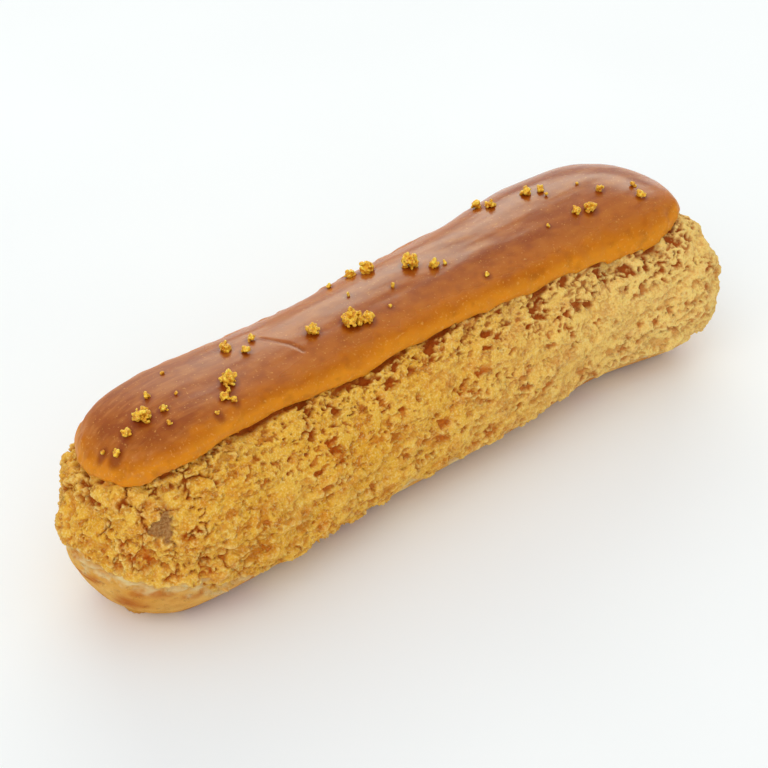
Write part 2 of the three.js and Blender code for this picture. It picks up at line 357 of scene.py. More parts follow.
crust = copy_of_node(crust_node, "crust")
apply_modifier(crust, "REMESH", mode="VOXEL", voxel_size=VOXEL)
apply_modifier(crust, "SMOOTH", factor=0.5, iterations=FACET_SMOOTHING)
smooth_crust = BVHTree.FromObject(crust, bpy.context.evaluated_depsgraph_get())
print("Crust skin:", len(crust.data.polygons), "faces")

# %% [markdown]
# ## Where the glaze lies
#
# The glaze's outline decides which part of the crust is hidden and where its darkest pits are, so it is
# measured before the crust is carved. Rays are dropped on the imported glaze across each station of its
# length, and the first and last that land give its two edges. At the blunt end the near edge is drawn in a
# little, because the glaze ends there in a narrower tongue.

# %% Measure the glaze's outline
STATIONS = 161
RAY_STEP = 0.2
RAY_SPREAD = 19
RAY_START = 60
OUTLINE_SMOOTHING = 6
TIP_INSET = 0.9
TIP_FROM = -24
TIP_FADE = 24
TIP_ROUND = 6


def drop(tree, along, across):
    """The height in mm of the surface under a point. None where there is no surface."""
    hit = tree.ray_cast(Vector((along, across, RAY_START)) * MM, Vector((0, 0, -1)))[0]
    return None if hit is None else hit.z / MM


def measure_outline(tree, start, end):
    """Rows of along, near edge and far edge, closer together towards the two rounded ends."""
    rows = []
    for turn in np.linspace(-math.pi / 2, math.pi / 2, STATIONS)[1:-1]:
        along = (start + end) / 2 + (end - start) / 2 * math.sin(turn)
        tries = np.arange(-RAY_SPREAD, RAY_SPREAD, RAY_STEP)
        landed = [across for across in tries if drop(tree, along, across) is not None]
        if landed:
            rows.append((along, landed[0], landed[-1]))
    return np.array(rows)


glaze_tree = BVHTree.FromObject(glaze_node, bpy.context.evaluated_depsgraph_get())
glaze_low, glaze_high = [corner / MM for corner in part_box("caramel_glaze")]
outline = measure_outline(glaze_tree, glaze_low.x, glaze_high.x)
for _ in range(OUTLINE_SMOOTHING):
    outline[1:-1, 1:] = (outline[:-2, 1:] + 2 * outline[1:-1, 1:] + outline[2:, 1:]) / 4
towards_tip = smooth_step(TIP_FROM - outline[:, 0], 0, TIP_FADE)
past_tip = smooth_step(outline[:, 0] - outline[0, 0], 0, TIP_ROUND)
outline[:, 1] += TIP_INSET * towards_tip * past_tip
print("Glaze from", outline[0].round(1), "to", outline[-1].round(1), "in", len(outline), "rows")


# %% Distance from the outline
SHORTEST = 1e-9


def distance_inside(along, across):
    """How far a point is inside the glaze's outline seen from above, in mm. Outside it is negative."""
    loop = np.concatenate([outline[:, [0, 1]], outline[::-1][:, [0, 2]]])
    edges = np.roll(loop, -1, axis=0) - loop
    squares = (edges**2).sum(1)
    point = np.stack([along, across], 1)
    nearest = np.full(len(point), np.inf)
    for start, edge, square in zip(loop, edges, squares):
        share = np.clip(((point - start) @ edge) / max(square, SHORTEST), 0, 1)
        gap = np.hypot(*(point - start - share[:, None] * edge).T)
        nearest = np.minimum(nearest, gap)
    near = np.interp(along, outline[:, 0], outline[:, 1])
    far = np.interp(along, outline[:, 0], outline[:, 2])
    inside = (along > outline[0, 0]) & (along < outline[-1, 0]) & (across > near) & (across < far)
    return np.where(inside, nearest, -nearest)


# %% [markdown]
# ## Noise in millimetres
#
# Every crack and pit comes from noise that is read at the points of the skin. Layered noise is scaled to a
# spread of one, so that a threshold says how much of the crust is carved: about a sixth lies above 1.0,
# and a third above 0.4. Cell noise gives two more patterns: the gaps between cracked plates, and bubbles
# that burst, each of its own width. Places that are pushed about first give all of them ragged edges.

# %% Noise helpers
DRAW_APART = 17.3
ALL_NOISE = (-2.2, 2.2)
MOST_NOISE = (-2, 2)
BUBBLE_MIDDLE = 0.35
BUBBLE_SPREAD = 0.15
BUBBLE_EDGE = (-0.02, 0.14)
CELL_STEP = 7.1


def field(places, size, stretch=1.0, layers=3, draw=0):
    """Layered noise with zero mean and unit spread. Its forms are about `size` mm, and longer along X."""
    scaled = places / (np.array([stretch, 1, 1]) * size) + draw * DRAW_APART
    values = np.array([noise.fractal(place, 1.0, 2.0, layers) for place in scaled.tolist()])
    return (values - values.mean()) / values.std()


def warped(places, reach, size, draw):
    """The places pushed about by about `reach` mm, so that a pattern read there has ragged edges."""
    push = [field(places, size, layers=2, draw=draw + step) for step in range(3)]
    return places + reach * np.stack(push, 1)


def plate_gaps(places, size):
    """0 in the gaps between cracked plates that are about `size` mm wide, and more inside them."""
    distances = np.array([noise.voronoi(place)[0][:2] for place in (places / size).tolist()])
    return distances[:, 1] - distances[:, 0]


def burst_bubbles(places, size, stretch, draw):
    """1 inside bubbles that burst, `size` mm apart, each of its own width, and 0 between them."""
    scaled = places / (np.array([stretch, 1, 1]) * size) + draw * DRAW_APART
    depths = np.empty(len(places))
    for index, place in enumerate(scaled.tolist()):
        distances, centres = noise.voronoi(place)
        width = BUBBLE_MIDDLE + BUBBLE_SPREAD * noise.cell(centres[0] * CELL_STEP)
        depths[index] = width - distances[0]
    return smooth_step(depths * size, *BUBBLE_EDGE)


# %% Helpers that use a mask
LIGHTEST_WEIGHT = 0.004


def raise_by(obj, group_name, weights, height):
    """Moves the skin along its normals by height (mm) times weights, with a Displace modifier."""
    group = obj.vertex_groups.new(name=group_name)
    for index in np.nonzero(weights > LIGHTEST_WEIGHT)[0].tolist():
        group.add([index], float(weights[index]), "REPLACE")
    apply_modifier(
        obj, "DISPLACE", strength=height * MM, mid_level=0, direction="NORMAL", vertex_group=group_name
    )


def store(obj, name, values):
    """Keeps a mask on the mesh for its material."""
    layer = obj.data.attributes.new(name, "FLOAT", "POINT")
    layer.data.foreach_set("value", np.clip(values, 0, 1).astype(np.float32))


# %% [markdown]
# ## The zones of the crust
#
# Above the lip lies the craquelin. Below it the bare choux shows, smoother and paler, with a few browned
# patches, and torn where the two came apart. Close to the glaze the crust is most open, with small dark
# pits, and lower on the flank the pits draw out into long dashes. The lip's heights are the solid's.

# %% Zones
# The lip's height in mm, at each of these places along the éclair.
LIP_ALONG = [-70, -67, -64, -60, -56, -51, -44, -22, -8, 20, 46, 70]
LIP_HEIGHT = [15.8, 14.4, 13.2, 12.2, 10.5, 8.6, 6.6, 6.0, 7.0, 7.4, 7.8, 9.5]
LIP_WANDER = 0.8
LIP_WANDER_SIZE = 4.5
LIP_EDGE = (-0.25, 0.25)
TORN_BAND = (1.8, 3.2)
TORN_WANDER = 0.6
TORN_WANDER_SIZE = 2.4
TOP_FROM = 22
UNDER_GLAZE = (0.8, 1.6)
NEAR_GLAZE = (-6.0, -0.5)
FOOT_EDGE = (0.25, 0.7)
FLANK_FROM = 27
FLANK_FADE = 10
BLUNT_FROM = -36
BLUNT_FADE = 16

skin = points_of(crust)
along, across, up = skin.T
inside = distance_inside(along, across)
on_top = up > TOP_FROM
covered = smooth_step(inside, *UNDER_GLAZE) * on_top
beside_glaze = np.where(on_top, smooth_step(inside, *NEAR_GLAZE), 0)
lip_wander = LIP_WANDER * field(skin, LIP_WANDER_SIZE, layers=4, draw=1)
lip_line = np.interp(along, LIP_ALONG, LIP_HEIGHT) + lip_wander
above_lip = smooth_step(up - lip_line, *LIP_EDGE)
under_lip = lip_line - up + TORN_WANDER * field(skin, TORN_WANDER_SIZE, draw=2)
torn = (1 - above_lip) * (1 - smooth_step(under_lip, *TORN_BAND))
resting = smooth_step(up, *FOOT_EDGE)
flank = smooth_step(FLANK_FROM - up, 0, FLANK_FADE)
left_end = smooth_step(BLUNT_FROM - along, 0, BLUNT_FADE)
crusted = above_lip * (1 - covered) * resting
print("Share of the skin that is crust:", round(float(crusted.mean()), 2))

# %% [markdown]
# ## Carving the crust
#
# Pits and caves broke open where bubbles burst in the oven, long dashes where the dough stretched low on
# the flank, and cracks part the plates of the blunt end. Lumps, waves and grain roughen what is left. Each
# is a mask from 0 to 1 with steep sides. Where openings overlap the deepest counts, and all together make
# one height, brought to a mean of zero so that the carved crust keeps the solid's size. The skin moves in
# one step along the smooth skin's normals: Displace modifiers in a row would each read the normals of the
# pits that the last one cut, and pull the skin out into spikes.

# %% Pits, caves, pores and dashes
# Depths, sizes and spacings are in mm. A stretch is how far an opening is drawn out along the éclair.
PIT_DEPTH = 0.85
PIT_SPACING = 1.7
SMALL_PIT_DEPTH = 0.4
SMALL_PIT_SPACING = 1.15
PIT_STRETCH = 2.0
CAVE_DEPTH = 0.85
CAVE_SIZE = 2.5
PORE_DEPTH = 0.25
PORE_SIZE = 1.0
DASH_DEPTH = 0.85
DASH_SIZE = 1.5
DASH_STRETCH = 2.6
RARE = 2.3
OPEN_ZONE_SIZE = 6.0
RAGGED_REACH = 0.25
RAGGED_SIZE = 1.1
WHOLE_SPOT = (-57.0, -12.6, 26.5)
WHOLE_EDGE = (1.4, 2.6)

ragged = warped(skin, RAGGED_REACH, RAGGED_SIZE, draw=3)
gentle = flank * (1 - left_end)
whole = smooth_step(np.linalg.norm(skin - WHOLE_SPOT, axis=1), *WHOLE_EDGE)
openness = field(skin, OPEN_ZONE_SIZE, stretch=1.5, layers=2, draw=10) + beside_glaze - 0.6 * gentle
open_zone = smooth_step(openness, -1.3, 0.3)
pits = burst_bubbles(ragged, PIT_SPACING, PIT_STRETCH, draw=7)
pits = pits * fade(open_zone, 0.35, 1) * fade(left_end, 1, 0.4)
small_pits = burst_bubbles(ragged, SMALL_PIT_SPACING, PIT_STRETCH, draw=5)
small_pits = small_pits * fade(open_zone, 0.5, 1) * fade(left_end, 1, 0.5)
cave_noise = field(ragged, CAVE_SIZE, stretch=1.4, layers=3, draw=6)
cave_level = RARE - 1.2 * beside_glaze + 1.2 * left_end
caves = smooth_step(cave_noise, cave_level - 0.1, cave_level + 0.35)
pores = smooth_step(field(ragged, PORE_SIZE, stretch=1.3, layers=2, draw=8), 1.0, 1.6)
dash_noise = field(ragged, DASH_SIZE, stretch=DASH_STRETCH, layers=2, draw=9)
dash_level = RARE - 1.3 * flank
dashes = smooth_step(dash_noise, dash_level - 0.1, dash_level + 0.6) * fade(gentle, 1, 0.75)
print("Open zone:", round(float(open_zone.mean()), 2), "of the skin")

# %% The groove under the glaze, and the cracks and plates of the blunt end
CRACK_DEPTH = 1.1
GROOVE_DEPTH = 0.8
GROOVE_MIDDLE = 0.2
GROOVE_EDGE = (0.2, 0.9)
GROOVE_BREAK_SIZE = 2.8
CRACK_SPACING = 4.4
CRACK_EDGE = (0.03, 0.11)
CRACKED_SIZE = 4.0
PLATE_SIZE = 7.0
PLATE_STEP = 1.0
PLATE_LEVELS = (-0.9, 0, 0.9)
PLATE_CLIFF = 0.12

groove_breaks = smooth_step(field(skin, GROOVE_BREAK_SIZE, stretch=1.6, draw=11), -0.6, 0.6)
groove = (1 - smooth_step(np.abs(inside - GROOVE_MIDDLE), *GROOVE_EDGE)) * on_top * groove_breaks
gaps = plate_gaps(warped(skin, reach=0.35, size=1.4, draw=12), CRACK_SPACING)
broken = smooth_step(field(skin, CRACKED_SIZE, layers=2, draw=13), -0.4, 0.3)
cracks = (1 - smooth_step(gaps, *CRACK_EDGE)) * broken * fade(left_end, 0.1, 1)
plate_noise = field(warped(skin, reach=0.6, size=2.4, draw=15), PLATE_SIZE, layers=4, draw=18)
steps = [smooth_step(plate_noise, level, level + PLATE_CLIFF) for level in PLATE_LEVELS]
plates = sum(steps) / len(PLATE_LEVELS) * left_end
openings = {
    "pits": (PIT_DEPTH, pits),
    "small pits": (SMALL_PIT_DEPTH, small_pits),
    "caves": (CAVE_DEPTH, caves),
    "pores": (PORE_DEPTH, pores),
    "dashes": (DASH_DEPTH, dashes),
    "cracks": (CRACK_DEPTH, cracks),
    "groove": (GROOVE_DEPTH, groove),
}
for name, (_, opening) in openings.items():
    print("Share of the crust in", name, round(float((opening * crusted).sum() / crusted.sum()), 3))

# %% The bare spot and the deep hollows
# Each row: along, across, up, reach and depth in mm. The first is the spot where a flake of crust is lost.
HOLLOWS = [
    (-60.2, -14.4, 23.7, 1.9, 0.9),
    (-63.2, -13.5, 17.9, 1.5, 1.0),
    (-55.0, -17.1, 11.3, 1.6, 0.8),
    (50.8, -13.6, 29.6, 1.8, 0.9),
    (41.1, -12.3, 29.1, 1.7, 0.9),
    (16.3, -13.0, 29.8, 2.0, 0.8),
]
HOLLOW_SHAPE = (1.0, 1.0, 1.5)
HOLLOW_WANDER = 0.45
HOLLOW_WANDER_SIZE = 1.8
HOLLOW_EDGE = (-0.35, 0.2)

edge_noise = field(skin, HOLLOW_WANDER_SIZE, draw=25)


def dent_at(centre, reach):
    """1 inside a hollow with a ragged edge, and 0 outside it."""
    away = np.linalg.norm((skin - centre) / HOLLOW_SHAPE, axis=1) + HOLLOW_WANDER * edge_noise
    return 1 - smooth_step(away, reach + HOLLOW_EDGE[0], reach + HOLLOW_EDGE[1])


dents = np.maximum.reduce([depth * dent_at(centre, reach) for *centre, reach, depth in HOLLOWS])
bare_spot = dent_at(HOLLOWS[0][:3], HOLLOWS[0][3])
print("Points in the hollows:", int((dents > 0).sum()))

# %% Lumps, waves and grain
LUMP_HEIGHT = 0.55
LUMP_SIZE = 3.6
WAVE_HEIGHT = 0.6
WAVE_SIZE = 2.6
WAVE_STRETCH = 3.4
GRAIN_HEIGHT = 0.25
GRAIN_SIZE = 0.9
TEAR_DEPTH = 0.6
TEAR_SIZE = 0.8
TEAR_SHAPE = (0.3, 0.3, 1.0)
LIP_DROP = 0.45

lumps = smooth_step(field(skin, LUMP_SIZE, stretch=1.6, layers=3, draw=20), *ALL_NOISE)
waves = smooth_step(field(ragged, WAVE_SIZE, stretch=WAVE_STRETCH, layers=3, draw=19), *MOST_NOISE) * gentle
grain = smooth_step(field(skin, GRAIN_SIZE, layers=2, draw=22), *ALL_NOISE)
tears = smooth_step(field(skin * TEAR_SHAPE, TEAR_SIZE, layers=3, draw=24), -1.5, 1.5)
calm = fade(bare_spot, 1, 0.2) * whole
height = LUMP_HEIGHT * lumps + WAVE_HEIGHT * waves + PLATE_STEP * (plates - 0.6 * left_end)
height += GRAIN_HEIGHT * grain * calm
print("Lumps up to", round(float(height.max()), 2), "mm")

# %% Carve
FOOT_POINTS = 0.3

deepest = np.maximum.reduce([depth * opening for depth, opening in openings.values()])
height -= np.maximum(deepest * calm, dents)
height -= (height * crusted).sum() / crusted.sum()
below_lip = LIP_DROP * (1 - above_lip) + TEAR_DEPTH * tears * torn
height = height * crusted - below_lip * resting
move_points(crust, skin + facing_of(crust) * height[:, None])
apply_modifier(crust, "SMOOTH", factor=0.4, iterations=1)

carved = points_of(crust)
carved[:, 2] = np.maximum(carved[:, 2], 0)
carved[skin[:, 2] < FOOT_POINTS, 2] = 0
move_points(crust, carved)
print("Carved crust box:", carved.min(0).round(1), carved.max(0).round(1), "relief:", height.min().round(2))

# %% [markdown]
# ## What stands out and what lies deep
#
# The colours follow the relief, lighter on the tops as a painted highlight and darker in the pits, partly as
# painted shade, so the relief is measured: a copy of the skin is smoothed until its pits are gone, and the
# height of each point over that copy says whether it is a crumb's top or a pit's floor.
# Below the lip the bare choux has no relief to follow: noise gives its browned patches, and those of the
# blunt end are placed one by one.

# %% How far each point stands out
PIT_SMOOTHING = 24

calmed = crust.copy()
calmed.data = crust.data.copy()
bpy.context.scene.collection.objects.link(calmed)
apply_modifier(calmed, "SMOOTH", factor=0.5, iterations=PIT_SMOOTHING)
stands = ((carved - points_of(calmed)) * facing_of(calmed)).sum(1)
bpy.data.objects.remove(calmed)
print("Relief from", stands.min().round(2), "to", stands.max().round(2), "mm")

# %% Masks for the crust's colours
# Each patch: along, across, up and reach in mm.
PATCHES = [
    (-69.6, -2.5, 15.0, 2.2),
    (-68.5, -3.8, 10.6, 2.6),
    (-64.0, -12.9, 10.6, 3.4),
    (-66.5, -8.5, 6.0, 2.4),
]
PATCH_SHAPE = (0.6, 0.6, 1.2)
PATCH_EDGE = (0.3, 0.75)
PATCH_WANDER = 0.5
PATCH_WANDER_SIZE = 2.4
BROWNED_SIZE = 5.0
SUNK = (0.12, 0.5)
RAISED = (0.1, 0.5)
PALER_FROM = (-20, 60)

browned = smooth_step(field(skin, BROWNED_SIZE, stretch=1.8, draw=28), 0.4, 1.5)
patch_wander = PATCH_WANDER * field(skin, PATCH_WANDER_SIZE, draw=29)
for *centre, reach in PATCHES:
    apart = np.linalg.norm((skin - centre) * PATCH_SHAPE, axis=1) + patch_wander
    browned = np.maximum(browned, 1 - smooth_step(apart, PATCH_EDGE[0] * reach, PATCH_EDGE[1] * reach))
browned = browned * (1 - above_lip)
open_share = np.maximum.reduce([pits, 0.8 * small_pits, caves, 0.7 * dashes, cracks, groove, 0.35 * pores])
# The sunk share is painted shade in the recesses. The open share is partly the pits' toasted colour and
# partly painted shade.
deep = np.maximum(0.75 * smooth_step(-stands, *SUNK), 0.95 * open_share)
store(crust, "hollow", deep * crusted * fade(gentle, 1, 0.8) * whole)
# The crest mask puts a painted highlight on the raised tops of the crust.
store(crust, "crest", smooth_step(stands, *RAISED) * crusted)
store(crust, "low_choux", 1 - above_lip)
store(crust, "bare", bare_spot)
store(crust, "browned", browned * fade(torn, 1, 0.2))
store(crust, "torn", torn * fade(tears, 1, 0.2))
# near_glaze also darkens the pits beside the glaze, as painted shade under its rim.
store(crust, "near_glaze", beside_glaze)
store(crust, "paler", smooth_step(along, *PALER_FROM))
print("The crust has", len(crust.data.attributes), "attributes")

# %% [markdown]
# ## Sparing the triangles
#
# Nobody sees the crust under the glaze, nor the flat foot, so these are thinned out first, with a Decimate
# modifier that a vertex group keeps away from all that shows. A second one then spares triangles
# wherever the carved skin is nearly flat.

# %% Thin out
CRUST_TRIANGLES = 192000
HIDDEN_FROM = 0.7
HIDDEN_THINNING = 0.85


def count_triangles(obj):
    """How many triangles the object's faces make."""
    obj.data.calc_loop_triangles()
    return len(obj.data.loop_triangles)


hidden = np.maximum(covered, 1 - smooth_step(up, 0.1, 0.5)) > HIDDEN_FROM
group = crust.vertex_groups.new(name="hidden")
group.add(np.nonzero(hidden)[0].tolist(), 1.0, "REPLACE")
thinned = 1 - HIDDEN_THINNING * float(hidden.mean())
apply_modifier(crust, "DECIMATE", ratio=thinned, vertex_group="hidden")
apply_modifier(crust, "DECIMATE", ratio=min(1, CRUST_TRIANGLES / count_triangles(crust)))
crust.vertex_groups.clear()
crust.data.shade_smooth()
print("Hidden share:", round(float(hidden.mean()), 2), "triangles left:", count_triangles(crust))
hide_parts("choux_shell")
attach(crust, "root")

# %% [markdown]
# ## The colours of the crust
#
# Baked sugar dough is golden where it stands out and red-brown where it broke open: partly its own toasted
# colour, because the syrup gathered there, and partly painted shade in the pits. Its crests are paler as a
# painted highlight, and the pits beside the glaze darker as painted shade under its rim. The masks from the
# carving put each colour where its relief is, and noise breaks them up.
# A little light enters the crumb, so there is a touch of subsurface scattering, and the surface is dry.

# %% The sugar dough's colours
GOLDEN_DEEP = srgb(236, 176, 54)
GOLDEN_LIGHT = srgb(242, 190, 76)
FRECKLE = srgb(222, 138, 34)
SMUDGE = srgb(222, 136, 36)
CREST_PAINTED_HIGHLIGHT = srgb(246, 218, 146)
PORE_BROWN = srgb(196, 104, 16)
FAR_END_PALE = srgb(252, 218, 134)
SUGAR_PALE = srgb(246, 222, 150)
SUGAR_BROWN = srgb(206, 136, 44)
TOASTED_AND_SHADED_DEEP = srgb(172, 66, 2)
TOASTED_AND_SHADED_LIGHT = srgb(196, 90, 6)
GLAZE_RIM_SHADE_BROWN = srgb(134, 48, 4)

baked, tree, shader = new_material("baked_crust")
freckles = noise_field(tree, 0.9, detail=3)
clouds = noise_field(tree, 0.12, detail=3)
crumb = noise_field(tree, 2.2, detail=3)
sugar = noise_field(tree, 2.8)
smudges = noise_field(tree, 0.38, stretch=1.4, detail=3)
tiny_pores = remap(tree, noise_field(tree, 0.75, stretch=1.4), 0.6, 0.68)

golden = mix_colours(tree, remap(tree, clouds, 0.35, 0.65), GOLDEN_DEEP, GOLDEN_LIGHT)
golden = mix_colours(tree, remap(tree, freckles, 0.28, 0.45, 0.5, 0), golden, FRECKLE)
golden = mix_colours(tree, remap(tree, smudges, 0.52, 0.66, 0, 0.6), golden, SMUDGE)
# Painted highlight: the raised crests are made paler.
golden = tinted(tree, golden, "crest", 0.5, CREST_PAINTED_HIGHLIGHT)
golden = mix_colours(tree, remap(tree, tiny_pores, 0, 1, 0, 0.65), golden, PORE_BROWN)
golden = tinted(tree, golden, "paler", 0.7, FAR_END_PALE)
golden = mix_colours(tree, remap(tree, sugar, 0.52, 0.68, 0, 0.5), golden, SUGAR_PALE)
golden = mix_colours(tree, remap(tree, sugar, 0.34, 0.46, 0.35, 0), golden, SUGAR_BROWN)
# Red-brown in the pits and recesses: partly toasted colour, partly painted shade.
toasted_and_shaded = mix_colours(tree, remap(tree, crumb, 0.35, 0.65), TOASTED_AND_SHADED_DEEP, TOASTED_AND_SHADED_LIGHT)
# Painted shade: the pits beside the glaze are darkened as if under its rim.
toasted_and_shaded = tinted(tree, toasted_and_shaded, "near_glaze", 0.6, GLAZE_RIM_SHADE_BROWN)
upper = mix_colours(tree, mask(tree, "hollow"), golden, toasted_and_shaded)
print("Dough colours:", len(tree.nodes), "nodes")

# %% The bare choux's colours
CHOUX_DEEP = srgb(222, 158, 66)
CHOUX_LIGHT = srgb(234, 182, 96)
TORN_PALE = srgb(232, 208, 152)
CHOUX_STREAK = srgb(214, 156, 74)
CHOUX_BROWNED = srgb(186, 98, 28)
BARE_DEEP = srgb(160, 108, 56)
BARE_LIGHT = srgb(186, 138, 84)

streak = noise_field(tree, 0.5, stretch=4.0, detail=3)
lower = mix_colours(tree, remap(tree, clouds, 0.4, 0.6), CHOUX_DEEP, CHOUX_LIGHT)
lower = mix_colours(tree, mask(tree, "torn"), lower, TORN_PALE)
lower = mix_colours(tree, remap(tree, streak, 0.4, 0.65, 0, 0.55), lower, CHOUX_STREAK)
lower = tinted(tree, lower, "browned", 0.85, CHOUX_BROWNED)
colour = mix_colours(tree, mask(tree, "low_choux"), upper, lower)
bare_tone = mix_colours(tree, remap(tree, crumb, 0.4, 0.6), BARE_DEEP, BARE_LIGHT)
colour = mix_colours(tree, mask(tree, "bare"), colour, bare_tone)
tree.links.new(colour, shader.inputs["Base Color"])
print("Crust colours:", len(tree.nodes), "nodes")

# %% The crust's dry, gritty surface
CRUMB_GLOW = (1.0, 0.55, 0.25)
GRIT_HEIGHT = 0.32 * MM
FINE_GRIT_HEIGHT = 0.15 * MM

tree.links.new(remap(tree, freckles, 0.3, 0.7, 0.6, 0.82), shader.inputs["Roughness"])
shader.inputs["Specular IOR Level"].default_value = 0.08
shader.inputs["Subsurface Weight"].default_value = 0.14
shader.inputs["Subsurface Radius"].default_value = CRUMB_GLOW
shader.inputs["Subsurface Scale"].default_value = 0.8 * MM
sunk = calculate(tree, "SUBTRACT", crumb, tiny_pores)
grit = add_node(tree, "ShaderNodeBump", Height=sunk, Strength=0.7, Distance=GRIT_HEIGHT)
fine_noise = noise_field(tree, 4.2)
fine = add_node(tree, "ShaderNodeBump", Height=fine_noise, Strength=0.4, Distance=FINE_GRIT_HEIGHT)
tree.links.new(grit.outputs[0], fine.inputs["Normal"])
tree.links.new(fine.outputs[0], shader.inputs["Normal"])
crust.data.materials.append(baked)
print("Crust finish:", len(tree.nodes), "nodes")

# %% [markdown]
# ## The caramel glaze
#
# The glaze was dipped: it is thick, with a full round edge that hangs a little over the crust. It is made
# from a grid that is drawn into the measured outline, laid on the smooth crust, and extruded into a closed
# slab. A fine remesh gives it even faces. Ripples, faint streaks, an uneven edge and one short crease break
# up the sheen: each is a Displace modifier that a vertex group holds to its place.

# %% A slab in the outline
GRID_LONG = 220
GRID_WIDE = 56

deselect_all()
bpy.ops.mesh.primitive_grid_add(x_subdivisions=GRID_LONG, y_subdivisions=GRID_WIDE, size=2)
glaze = bpy.context.object
glaze.name = "glaze"
bpy.ops.object.mode_set(mode="EDIT")
bpy.ops.mesh.select_all(action="SELECT")
bpy.ops.mesh.extrude_region_move(TRANSFORM_OT_translate={"value": (0, 0, 1)})
bpy.ops.object.mode_set(mode="OBJECT")

# The grid runs from -1 to 1 both ways, and its extruded copy lies at a height of 1.
slab = points_of(glaze) * MM
lengthways, crossways = slab[:, 0], slab[:, 1]
is_top = slab[:, 2] > 0.5
reach = (outline[-1, 0] - outline[0, 0]) / 2
glaze_along = (outline[-1, 0] + outline[0, 0]) / 2 + reach * np.sin(lengthways * math.pi / 2)
near_edge = np.interp(glaze_along, outline[:, 0], outline[:, 1])
far_edge = np.interp(glaze_along, outline[:, 0], outline[:, 2])
glaze_across = near_edge + (far_edge - near_edge) * (np.sin(crossways * math.pi / 2) + 1) / 2
from_rim = np.maximum(distance_inside(glaze_along, glaze_across), 0)
print("Glaze grid:", len(slab), "points, widest", round(float((far_edge - near_edge).max()), 1), "mm")

# %% The bed that the slab lies on
BED_SMOOTHING = 10

bed = np.array([drop(smooth_crust, x, y) for x, y in zip(glaze_along, glaze_across)])
order = np.lexsort((crossways, lengthways, is_top))
rows = bed[order].reshape(2, GRID_LONG + 1, GRID_WIDE + 1)
for _ in range(BED_SMOOTHING):
    padded = np.pad(rows, ((0, 0), (1, 1), (1, 1)), mode="edge")
    beside = padded[:, :-2, 1:-1] + padded[:, 2:, 1:-1] + padded[:, 1:-1, :-2] + padded[:, 1:-1, 2:]
    rows = (beside + 2 * rows) / 6
bed[order] = rows.ravel()
print("Bed heights:", bed.min().round(1), bed.max().round(1))

# %% A thick middle and a round rim
GLAZE_THICKNESS = 2.5
RIM_REACH = 2.2
RIM_POWER = 1.5
RIM_FOOT = 1.25
RIM_GAP = 0.15
RIM_GAP_EDGE = (0.4, 1.6)
RIM_BEAD = 0.25
BEAD_REACH = 4.0

fall = 1 - np.minimum(from_rim / RIM_REACH, 1)
full = (1 - fall**RIM_POWER) ** (1 / RIM_POWER)
underside = RIM_GAP * (1 - smooth_step(from_rim, *RIM_GAP_EDGE))
bead = RIM_BEAD * np.exp(-((from_rim / BEAD_REACH) ** 2)) * full
height = np.where(is_top, RIM_FOOT + (GLAZE_THICKNESS - RIM_FOOT) * full + bead, underside)
move_points(glaze, np.stack([glaze_along, glaze_across, bed + height], 1))
print("Glaze heights:", (bed + height).min().round(1), (bed + height).max().round(1))

# %% Even faces
GLAZE_VOXEL = 0.36 * MM
GLAZE_MERGE_DISTANCE = 0.005 * MM

make_active(glaze)
bpy.ops.object.mode_set(mode="EDIT")
bpy.ops.mesh.select_all(action="SELECT")
bpy.ops.mesh.remove_doubles(threshold=GLAZE_MERGE_DISTANCE)
bpy.ops.mesh.normals_make_consistent(inside=False)
bpy.ops.object.mode_set(mode="OBJECT")
apply_modifier(glaze, "REMESH", mode="VOXEL", voxel_size=GLAZE_VOXEL)
apply_modifier(glaze, "SMOOTH", factor=0.5, iterations=3)
print("Glaze:", len(glaze.data.polygons), "faces")

# %% Ripples, streaks and an uneven edge
RIPPLE = 0.35
RIPPLE_SIZE = 14.0
STREAK = 0.10
STREAK_SIZE = 3.4
STREAK_STRETCH = 5.0
EDGE_WAVE = 0.4
EDGE_WAVE_SIZE = 3.6
FAR_SIDE_FROM = 2
FAR_SIDE_SHARE = 1.5
EDGE_ZONE = (0.6, 2.4)
TOP_SIDE = (0.3, 1.2)

gel = points_of(glaze)
from_rim = distance_inside(gel[:, 0], gel[:, 1])
bed_here = np.array([drop(smooth_crust, x, y) or 0 for x, y in gel[:, :2]])
thick = gel[:, 2] - bed_here
top_side = smooth_step(thick, *TOP_SIDE)
edge_zone = 1 - smooth_step(from_rim, *EDGE_ZONE)
ripples = smooth_step(field(gel, RIPPLE_SIZE, stretch=2.0, layers=2, draw=40), *MOST_NOISE)
streaks = smooth_step(field(gel, STREAK_SIZE, stretch=STREAK_STRETCH, layers=2, draw=42), *MOST_NOISE)
edge_waves = smooth_step(field(gel, EDGE_WAVE_SIZE, layers=2, draw=44), -1.5, 2)
edge_waves = edge_waves * np.where(gel[:, 1] > FAR_SIDE_FROM, FAR_SIDE_SHARE, 1)
raise_by(glaze, "ripples", ripples * top_side, RIPPLE)
raise_by(glaze, "streaks", streaks * top_side * (1 - edge_zone), STREAK)
raise_by(glaze, "waves", edge_waves * edge_zone * top_side, EDGE_WAVE)
print("Glaze points on top:", int((top_side > 0.5).sum()))

# %% The crease
# Each point: along and across in mm.
CREASE = [(-27.6, 2.6), (-26.0, -0.6), (-24.9, -2.4), (-24.2, -4.8)]
CREASE_DEPTH = 0.2
CREASE_EDGE = (0.05, 0.55)

